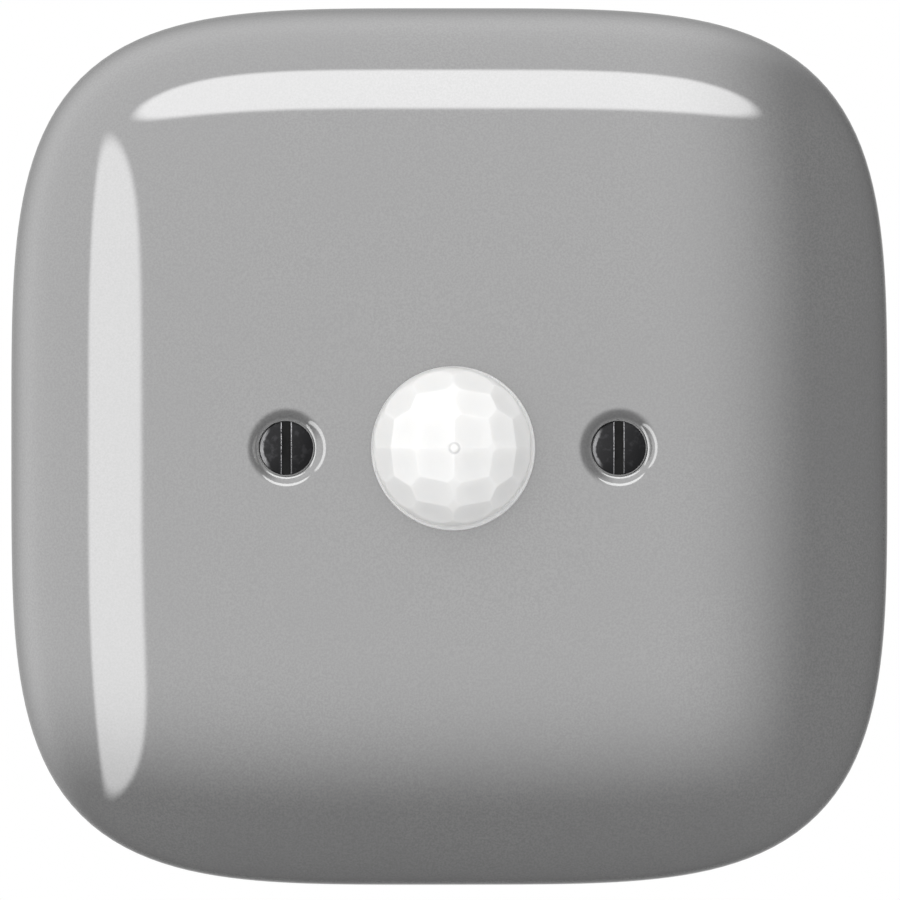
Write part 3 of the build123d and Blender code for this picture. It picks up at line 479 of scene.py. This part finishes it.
screw_x = 16.65 * mm
well_seat = 8.363 * mm
well_steps = 96
dish_steps = 16
dish_reach = 4.25 * mm
dish_round = 1.6 * mm
dish_end = 45
lip_round = 0.06 * mm
head_well = 2.86 * mm
boss_radius = 4.5 * mm
boss_back = 4.7 * mm
shank_hole = 1.7 * mm
apron = 0.22 * mm

face_profile = [(dish_reach + 2 * apron, 0.0), (dish_reach + apron, 0.0)]
for angle in np.linspace(0, radians(dish_end), dish_steps):
    face_profile.append((dish_reach - dish_round * sin(angle), dish_round * (1 - cos(angle))))
dish_depth = face_profile[-1][1]
face_profile += [(head_well + lip_round / 3, dish_depth + lip_round),
                 (head_well, dish_depth + 2 * lip_round)]
deep_profile = [
    (head_well, well_seat), (shank_hole, well_seat), (shank_hole, boss_back),
    (boss_radius, boss_back), (boss_radius, pocket_depth),
]
well_profile = [(radius, face_forward - depth) for radius, depth in face_profile] + deep_profile


def open_hole(bm, faces, centre, radius, forward):
    """Takes out the faces inside a circle and draws the edge that is left onto the circle."""
    patch = [f for f in faces if (f.calc_center_median() - centre).xz.length < radius]
    brim = {e for f in patch for e in f.edges if any(n not in patch for n in e.link_faces)}
    bmesh.ops.delete(bm, geom=patch, context="FACES")
    for vert in {v for e in brim for v in e.verts}:
        out = (vert.co - centre).xz.normalized() * radius
        x, z = centre.x + out.x, out.y
        vert.co = x, -(plate_forward(x, z) if forward is None else forward), z
    return list(brim)


for side in (-1, 1):
    centre = Vector((side * screw_x, 0, 0))
    front = [f for f in bm.faces if -f.calc_center_median().y > pocket_depth + foot_width / 2]
    floor = [f for f in bm.faces if abs(f.calc_center_median().y + pocket_depth) < near]
    brims = (
        (open_hole(bm, front, centre, dish_reach + 3 * apron, None), dish_reach + 2 * apron),
        (open_hole(bm, floor, centre, boss_radius + apron, pocket_depth), boss_radius),
    )
    chain = [bm.verts.new((centre.x + radius, -forward, 0)) for radius, forward in well_profile]
    links = [bm.edges.new(pair) for pair in zip(chain, chain[1:])]
    bmesh.ops.spin(
        bm, geom=chain + links, cent=centre, axis=(0, 1, 0), angle=2 * pi, steps=well_steps,
        use_merge=True,
    )
    well = [v for v in bm.verts if (v.co - centre).xz.length < dish_reach + 2.5 * apron]
    for vert in well:
        if -vert.co.y > face_forward - dish_depth - 3 * lip_round:
            vert.co.y += face_forward - plate_forward(vert.co.x, vert.co.z)
    for brim, reach in brims:
        circle = {
            e for v in well for e in v.link_edges
            if len(e.link_faces) == 1
            and all(abs((w.co - centre).xz.length - reach) < near for w in e.verts)
        }
        bmesh.ops.triangle_fill(bm, edges=brim + list(circle), use_beauty=True, normal=(0, -1, 0))

glaze = Finish("grey_glaze")
speckle = glaze.noise(0.20 * mm, detail=3)
cloud = glaze.noise(14 * mm, detail=2)
grey = glaze.blend(glaze.step(speckle, 0.30, 0.70), (0.150, 0.150, 0.151), (0.188, 0.188, 0.188))
grey = glaze.blend(glaze.step(cloud, 0.3, 0.7, 0.0, 0.35), grey, (0.160, 0.160, 0.162))
bare = glaze.step(glaze.axis("Y"), -0.25 * mm, -0.05 * mm)
glaze_material = glaze.surface(
    Base_Color=glaze.blend(bare, grey, (0.62, 0.58, 0.52)),
    Roughness=glaze.step(speckle, 0.3, 0.7, 0.045, 0.07) + bare * 0.5,
    IOR=1.55, Coat_Weight=1 - bare, Coat_Roughness=0.02, Coat_IOR=1.6,
    Normal=glaze.relief(glaze.noise(2.2 * mm, detail=1), 0.002 * mm),
)
piece_from(bm, "glazed_cover", glaze_material, "glaze", "cover", "cover_plate")

# Cover screws: blackened steel with a raised head. Turned from bar, slotted with a saw, and
# rolled with an M3 thread. A driver has worn the blacking off along the slot.
head_radius = 2.7 * mm
head_height = 2.0 * mm
head_crown = 9.0 * mm
head_edge = 0.12 * mm
slot_half = 0.475 * mm
slot_floor = 0.9 * mm
shank_radius = 1.48 * mm
shank_length = 10.0 * mm
thread_pitch = 0.5 * mm
thread_depth = 0.27 * mm
tip_taper = 0.6 * mm
crown_steps = 12
edge_steps = 4
rows_per_turn = 6
screw_steps = 48
hair = 0.001 * mm

blacking = Finish("blackened_steel")
stain = blacking.noise(0.8 * mm, detail=4, roughness=0.65)
grain = blacking.noise(0.10 * mm, detail=3, roughness=0.6)
across = blacking.axis("X")
across = across - across.math("SIGN", across) * screw_x
from_middle = across.size()
in_slot = blacking.step(from_middle, slot_half - 0.01 * mm, slot_half - 0.05 * mm)
on_head = blacking.step(blacking.axis("Y"), -9.0 * mm, -9.6 * mm)
rubbed = blacking.step(from_middle, slot_half + 0.11 * mm, slot_half + 0.03 * mm)
rubbed = rubbed * (1 - in_slot) * on_head * blacking.step(grain, 0.38, 0.56)
from_axis = blacking.length(blacking.add("CombineXYZ", {"X": across, "Z": blacking.axis("Z")}))
# A lighter band along the left edge of each head is a painted highlight. Its inner edge is ragged with
# the stain noise, and it is also made partly metallic.
lit_edge_side = blacking.step(across, -1.5 * mm, -2.1 * mm)
painted_edge_highlight = blacking.step(from_axis + stain * (0.5 * mm), 2.45 * mm, 2.65 * mm) * lit_edge_side * on_head
worn = blacking.step(stain, 0.50, 0.68) * (1 - in_slot)
black = blacking.blend(worn, (0.010, 0.010, 0.011), (0.028, 0.028, 0.030))
# The slot is painted darker than the head: painted shade in the slot.
black = blacking.blend(in_slot, black, (0.004, 0.004, 0.004))
black = blacking.blend(painted_edge_highlight, black, (0.15, 0.15, 0.153))
black = blacking.blend(rubbed, black, (0.34, 0.34, 0.35))
blacking_material = blacking.surface(
    Base_Color=black, Metallic=(worn * 0.4).or_more(rubbed * 0.9).or_more(painted_edge_highlight * 0.5),
    Roughness=blacking.step(stain, 0.35, 0.65, 0.42, 0.28), Specular_IOR_Level=0.12,
    Normal=blacking.relief(grain * 0.6 + stain * 0.6, 0.010 * mm),
)



def cut_head(bm, point, normal):
    """Adds edges where a plane cuts the head of a screw that stands on Z."""
    head = [f for f in bm.faces if f.calc_center_median().z > hair]
    parts = list({e for f in head for e in f.edges}) + list({v for f in head for v in f.verts})
    bmesh.ops.bisect_plane(bm, geom=head + parts, plane_co=point, plane_no=normal, dist=hair / 10)


crown_drop = head_crown - sqrt(head_crown ** 2 - (head_radius - head_edge) ** 2)
for side, name in ((-1, "left"), (1, "right")):
    profile = []
    for step in range(crown_steps + 1):
        radius = (head_radius - head_edge) * step / crown_steps
        profile.append((radius, head_height - head_crown + sqrt(head_crown ** 2 - radius ** 2)))
    rim_height = head_height - crown_drop - head_edge
    for step in range(1, edge_steps + 1):
        angle = pi / 2 * step / edge_steps
        profile.append((head_radius - head_edge * (1 - sin(angle)), rim_height + head_edge * cos(angle)))
    profile += [(head_radius, 0.0), (shank_radius, 0.0)]
    thread_rows = round(shank_length / thread_pitch * rows_per_turn)
    profile += [(shank_radius, -shank_length * row / thread_rows) for row in range(1, thread_rows)]
    profile += [(shank_radius - tip_taper, -shank_length), (0.0, -shank_length)]
    bm = bmesh.new()
    chain = [bm.verts.new((radius, 0, height)) for radius, height in profile]
    links = [bm.edges.new(pair) for pair in zip(chain, chain[1:])]
    bmesh.ops.spin(
        bm, geom=chain + links, axis=(0, 0, 1), angle=2 * pi, steps=screw_steps, use_merge=True
    )
    bmesh.ops.remove_doubles(bm, verts=bm.verts, dist=2 * hair)
    for vert in bm.verts:
        if -shank_length + hair < vert.co.z < -hair:
            turned = atan2(vert.co.y, vert.co.x) / (2 * pi)
            phase = (vert.co.z / thread_pitch + turned) % 1
            groove = thread_depth * min(1, (1 - abs(2 * phase - 1)) * 1.25)
            end = max(0, (-vert.co.z - shank_length + tip_taper) / tip_taper) * tip_taper
            shrink = (shank_radius - groove - end * (1 - groove / tip_taper)) / shank_radius
            vert.co.x *= shrink
            vert.co.y *= shrink
    for wall in (-slot_half, slot_half):
        cut_head(bm, (wall, 0, 0), (1, 0, 0))
    cut_head(bm, (0, 0, slot_floor), (0, 0, 1))
    milled = [
        f for f in bm.faces
        if abs(f.calc_center_median().x) < slot_half and f.calc_center_median().z > slot_floor
    ]
    bmesh.ops.delete(bm, geom=milled, context="FACES")
    bottoms = []
    for wall in (-slot_half, slot_half):
        cheek = [
            e for e in bm.edges
            if len(e.link_faces) == 1 and all(abs(v.co.x - wall) < hair for v in e.verts)
        ]
        low = [v for v in {v for e in cheek for v in e.verts} if abs(v.co.z - slot_floor) < hair]
        bottom = bm.edges.new(sorted(low, key=lambda v: v.co.y))
        bottoms.append(bottom)
        bmesh.ops.contextual_create(bm, geom=cheek + [bottom])
    arcs = [
        e for e in bm.edges
        if len(e.link_faces) == 1 and e not in bottoms
        and all(abs(v.co.z - slot_floor) < hair for v in e.verts)
    ]
    bmesh.ops.contextual_create(bm, geom=arcs + bottoms)
    place = Matrix.Translation((side * screw_x, -well_seat, 0)) @ Matrix.Rotation(pi / 2, 4, "X")
    bmesh.ops.transform(bm, matrix=place, verts=bm.verts)
    piece_from(bm, f"{name}_cover_screw_piece", blacking_material, "black_steel",
               f"{name}_cover_screw", f"cover_screw_{name}", sharp=30)

# Lens: a thin dome of milky polyethylene, moulded with rings of dished facets, on a flange
# with a skirt that passes through the cover. The gate mark stands at its apex.
dome_forward = 11.763 * mm
dome_radius = 7.95 * mm
dome_inside = 6.6 * mm
flange_radius = 8.2 * mm
skirt_outside = 7.2 * mm
skirt_inside = 6.7 * mm
skirt_back = 4.9 * mm
lens_face = 10.963 * mm
flange_edge = 0.12 * mm
flange_back_edge = 0.1 * mm
skirt_step = 0.5 * mm
lens_steps = 360
dome_rows = 144
inside_rows = 32
# Each ring of facets: how many, their tilt from the apex and their half width, in degrees
facet_rings = ((4, 18.0, 16.2), (8, 41.5, 15.6), (12, 62.5, 15.6))
facet_stretch = Vector((1.10, 1.0, 0.92))
facet_hollow = 0.05 * mm
ridge_softness = 0.012 * mm
dome_offset = Vector((-0.12, 0.06, 0.15)) * mm
gate_height = 0.06 * mm
gate_radius = 0.36 * mm
moat_depth = 0.05 * mm
moat_radius = 0.55 * mm
moat_width = 0.15 * mm

lens_profile = []
for row in range(dome_rows + 1):
    angle = pi / 2 * row / dome_rows
    lens_profile.append((dome_radius * sin(angle), dome_forward + dome_radius * cos(angle)))
lens_profile += [
    (flange_radius - flange_edge, dome_forward), (flange_radius, dome_forward - flange_edge),
    (flange_radius, lens_face + flange_back_edge), (flange_radius - flange_back_edge, lens_face),
    (skirt_outside, lens_face), (skirt_outside, skirt_back), (skirt_inside, skirt_back),
    (skirt_inside, dome_forward - skirt_step),
]
for row in range(inside_rows + 1):
    angle = pi / 2 * (1 - row / inside_rows)
    lens_profile.append((dome_inside * sin(angle), dome_forward + dome_inside * cos(angle)))
bm = bmesh.new()
chain = [bm.verts.new((radius, -forward, 0)) for radius, forward in lens_profile]
links = [bm.edges.new(pair) for pair in zip(chain, chain[1:])]
bmesh.ops.spin(
    bm, geom=chain + links, axis=(0, 1, 0), angle=2 * pi, steps=lens_steps, use_merge=True
)
bmesh.ops.remove_doubles(bm, verts=bm.verts, dist=3 * hair)
facets = []
for count, tilt, half_angle in facet_rings:
    for facet in range(count):
        turn = 2 * pi * (facet + 0.5) / count
        outward = Vector((sin(radians(tilt)) * cos(turn), -cos(radians(tilt)),
                          sin(radians(tilt)) * sin(turn)))
        facets.append(((outward * facet_stretch).normalized(), cos(radians(half_angle))))
normals = np.array([outward for outward, _ in facets])
edges = np.array([edge for _, edge in facets])
centre = Vector((0, -dome_forward, 0))
dome_verts = [
    v for v in bm.verts
    if -v.co.y >= dome_forward - near and abs((v.co - centre).length - dome_radius) < 2 * near
]
points = np.array([v.co - centre for v in dome_verts])
rays = points / np.linalg.norm(points, axis=1)[:, None]
facing = np.maximum(rays @ normals.T, 0.05)
hollow = facet_hollow * (1 - (1 - facing) / (1 - edges))
reaches = np.hstack((dome_radius * edges / facing - hollow, np.full((len(rays), 1), dome_radius)))
nearest = reaches.min(axis=1)
rounding = np.exp((nearest[:, None] - reaches) / ridge_softness).sum(axis=1)
off_apex = np.linalg.norm(points[:, [0, 2]], axis=1)
gate = gate_height * np.exp(-(off_apex / gate_radius) ** 4)
gate = gate - moat_depth * np.exp(-((off_apex - moat_radius) / moat_width) ** 2)
shaped = rays * (nearest - ridge_softness * np.log(rounding) + gate)[:, None]
for vert, place in zip(dome_verts, shaped):
    vert.co = centre + Vector(place) + dome_offset

milk = Finish("milky_polyethylene")
haze = milk.noise(3.5 * mm, detail=2)
apex = milk.add("Mapping", {"Vector": milk.add("TexCoord", output="Object"), "Scale": (1, 0, 1),
                            "Location": (-dome_offset.x, 0, -dome_offset.z)})
# A darker ring painted round the gate, over the moat, is painted shade in that groove.
from_moat = (milk.length(apex) - 0.50 * mm).size()
painted_moat_shade = milk.step(from_moat, 0.16 * mm, 0.06 * mm)
white = milk.blend(haze, (0.855, 0.848, 0.832), (0.885, 0.878, 0.864))
milk_material = milk.surface(
    Base_Color=milk.blend(painted_moat_shade, white, (0.70, 0.70, 0.70)),
    Roughness=milk.step(haze, 0.3, 0.7, 0.28, 0.36), IOR=1.5, Subsurface_Weight=1.0,
    Subsurface_Radius=(1.0, 0.97, 0.93), Subsurface_Scale=1.8 * mm,
    Normal=milk.relief(milk.noise(0.25 * mm, detail=2), 0.002 * mm),
)
piece_from(bm, "facetted_lens", milk_material, "lens", "cover", "fresnel_lens", sharp=50)

# Retaining ring: a flat ring of natural nylon that snaps onto the lens skirt behind the
# cover and keeps the lens in its hole.
nylon = moulding("natural_nylon", (0.72, 0.70, 0.64), (0.78, 0.76, 0.70), 0.15 * mm, 0.38)
eased("lens_retaining_ring", 0.12 * mm, nylon, "natural_plastic", "cover")

# Stage: a pale floor that is white away from the object, and a studio room that is bright to
# the left and above and falls off to the lower right, where the glaze mirrors less of it.
floor_level = -60 * mm
floor_size = 8.0
shadow_end = 0.12
white_start = 0.40
bm = bmesh.new()
bmesh.ops.create_circle(bm, cap_ends=True, segments=64, radius=floor_size)
bmesh.ops.translate(bm, vec=(0, 0, floor_level), verts=bm.verts)
mesh = bpy.data.meshes.new("floor")
bm.to_mesh(mesh)
bm.free()
paint = Finish("floor_paint")
spot = paint.add("VectorMath", {0: paint.add("TexCoord", output="Object"), 1: (1, 1, 0)},
                 operation="MULTIPLY")
far = paint.step(paint.length(spot), shadow_end, white_start)
is_camera = paint.add("LightPath", output="Is Camera Ray")
near_paint = paint.add("BsdfDiffuse", {"Color": (0.80, 0.80, 0.80)})
glow = paint.add("Emission", {"Color": (1, 1, 1), "Strength": 0.25})
lit_paint = paint.add("AddShader", {0: near_paint, 1: glow})
white = paint.add("Emission", {"Color": (1, 1, 1), "Strength": 1.0})
seen = paint.add("MixShader", {0: far, 1: lit_paint, 2: white})
unseen = paint.add("BsdfDiffuse", {"Color": (0.80, 0.80, 0.80)})
paint.add("OutputMaterial", {"Surface": paint.add("MixShader", {0: is_camera, 1: unseen, 2: seen})})
mesh.materials.append(paint.material)
floor = bpy.data.objects.new("floor", mesh)
floor.visible_glossy = False
floor.visible_shadow = False
bpy.context.scene.collection.objects.link(floor)

scene = bpy.context.scene
scene.view_settings.view_transform = "Standard"
world = bpy.data.worlds.new("studio")
world.use_nodes = True
scene.world = world
room = Finish("studio", world.node_tree)
direction = room.add("TexCoord", output="Generated")
sideways = room.add("SeparateXYZ", {"Vector": direction}, "X")
upwards = room.add("SeparateXYZ", {"Vector": direction}, "Z")
outwards = room.add("SeparateXYZ", {"Vector": direction}, "Y")
open_side = room.step(sideways, 0.12, 0.72, 1.0, 0.0) * room.step(upwards, -0.72, -0.10)
before = room.step(outwards, -0.05, -0.30)
behind = room.step(outwards, 0.0, 0.9)


def soft_box(across, along, half_width, half_length, bow):
    """An oval soft box in the room: 1 inside it, 0 outside, its ends drawn in by a bow."""
    off = (across + along * along * bow) * (1 / half_width)
    end = along * (1 / half_length)
    return room.step(off * off + end * end, 1.2, 0.8) * before


upper_box = soft_box(upwards - 0.647, sideways, half_width=0.122, half_length=0.47, bow=0.33)
left_box = soft_box(sideways + 0.512, upwards + 0.12, half_width=0.146, half_length=0.58, bow=0.28)
boxes = upper_box * 4.2 + left_box * 3.3
mirrored = (0.10 + open_side * 2.15) * (1 - behind * 0.8) + boxes
spread = 0.93 + open_side * 0.22
is_glossy = room.add("LightPath", output="Is Glossy Ray")
level = spread + is_glossy * (mirrored - spread)
is_camera = room.add("LightPath", output="Is Camera Ray")
light = room.add("Background", {"Color": (1, 1, 1), "Strength": level})
plain = room.add("Background", {"Color": (1, 1, 1), "Strength": 1.0})
room.add("OutputWorld", {"Surface": room.add("MixShader", {0: is_camera, 1: light, 2: plain})})

key_distance = 2.5
key_size = 2.4
key_radiance = 0.7
lamp = bpy.data.lights.new("key", "AREA")
lamp.shape = "DISK"
lamp.size = key_size
lamp.energy = key_radiance * pi * (pi * key_size ** 2 / 4)
holder = bpy.data.objects.new("key", lamp)
toward = Vector((-0.35, -0.80, 0.48)).normalized()
holder.location = toward * key_distance
holder.rotation_mode = "QUATERNION"
holder.rotation_quaternion = toward.to_track_quat("Z", "Y")
holder.visible_camera = False
holder.visible_glossy = False
scene.collection.objects.link(holder)

# Camera: far off with a long lens, square to the cover but for a hair to the left and above.
photo_width = 90.35 * mm
camera_distance = 3.0
camera_turn = -1.8
camera_rise = 0.9
aim = Vector((0.05, 0.0, -0.35)) * mm
camera = bpy.data.cameras.new("camera")
camera.sensor_width = 36  # the camera's own unit, mm
camera.lens = camera.sensor_width * camera_distance / photo_width
camera.clip_start = 0.1
camera.clip_end = 100
holder = bpy.data.objects.new("camera", camera)
back = Vector((
    sin(radians(camera_turn)) * cos(radians(camera_rise)),
    -cos(radians(camera_turn)) * cos(radians(camera_rise)), sin(radians(camera_rise)),
))
holder.location = aim + back * camera_distance
holder.rotation_mode = "QUATERNION"
holder.rotation_quaternion = (-back).to_track_quat("-Z", "Y")
scene.collection.objects.link(holder)
scene.camera = holder
